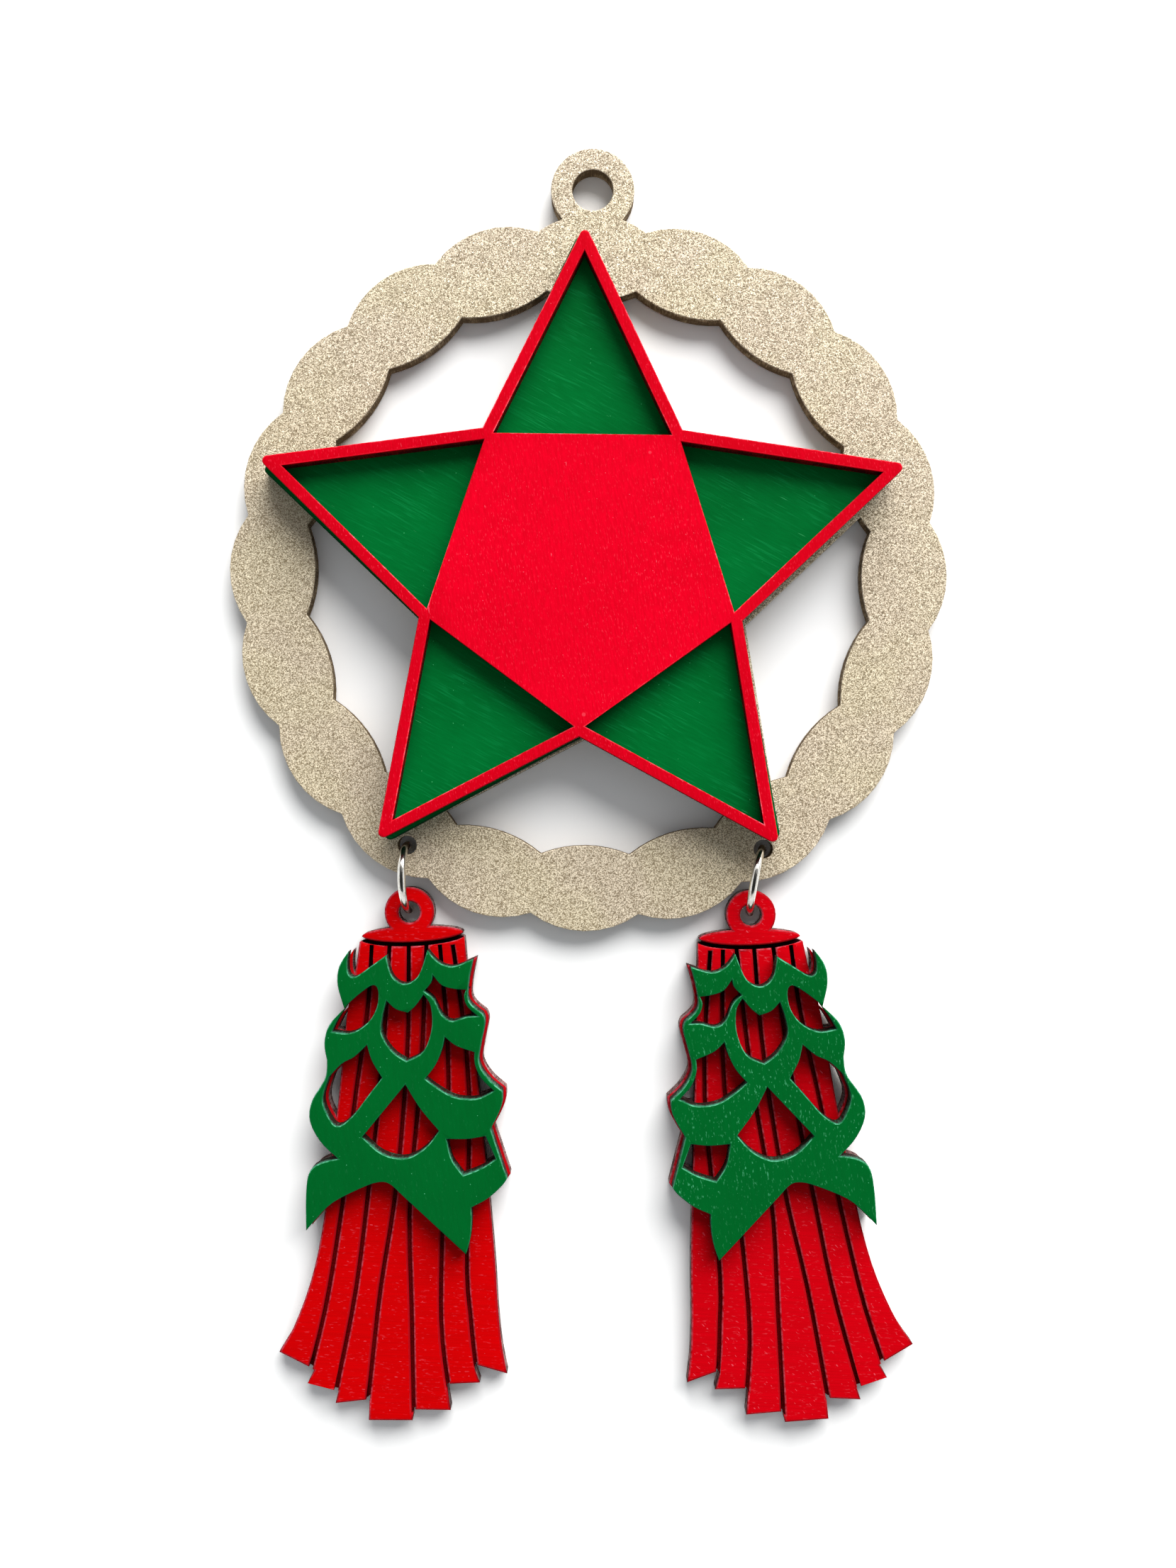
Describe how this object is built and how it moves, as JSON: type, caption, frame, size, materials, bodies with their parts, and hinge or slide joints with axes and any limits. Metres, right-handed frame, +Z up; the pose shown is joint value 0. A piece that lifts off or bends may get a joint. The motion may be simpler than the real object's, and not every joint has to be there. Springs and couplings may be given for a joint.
{
  "type": "parol star lantern ornament",
  "caption": "Flat hanging parol ornament: a layered five-point star inside a beaded ring with a hanger loop, and fringed tassels with pierced leaf overlays swinging on jump rings.",
  "frame": {"origin": "centre of the hanger hole, in the middle of the gold plate's thickness", "axes": "+Z up along the hanging direction, -Y towards the front with the star, +X to the viewer's right"},
  "size_m": [0.1012, 0.0127, 0.1798],
  "materials": {
    "gold_plywood": "champagne gold glitter paint",
    "green_plywood": "brushed green paint, satin",
    "red_plywood": "brushed red paint, satin",
    "ring_wire": "polished nickel-plated wire"
  },
  "bodies": {
    "ornament": {"base_plate": "gold_plywood", "star_panel": "green_plywood", "star_frame": "red_plywood"},
    "ring_left": {"jump_ring_left": "ring_wire"},
    "ring_right": {"jump_ring_right": "ring_wire"},
    "tassel_left": {"tassel_plate_left": "red_plywood", "tassel_overlay_left": "green_plywood"},
    "tassel_right": {"tassel_plate_right": "red_plywood", "tassel_overlay_right": "green_plywood"}
  },
  "joints": [
    {"name": "ring_left_swing", "type": "hinge", "parent": "ornament", "child": "ring_left", "pos_m": [-0.02493, 0, -0.09732], "axis": [-0.9905, 0.1305, -0.0433], "range_deg": [0, 28]},
    {"name": "tassel_left_sway", "type": "hinge", "parent": "ring_left", "child": "tassel_left", "pos_m": [-0.02473, 0, -0.10194], "axis": [0, 1, 0], "range_deg": [-6.8, 73.2]},
    {"name": "ring_right_swing", "type": "hinge", "parent": "ornament", "child": "ring_right", "pos_m": [0.02433, 0, -0.09726], "axis": [-0.9713, 0.1651, 0.1713], "range_deg": [0, 28]},
    {"name": "tassel_right_sway", "type": "hinge", "parent": "ring_right", "child": "tassel_right", "pos_m": [0.02353, 0, -0.10181], "axis": [0, -1, 0], "range_deg": [-12.3, 67.7]}
  ]
}
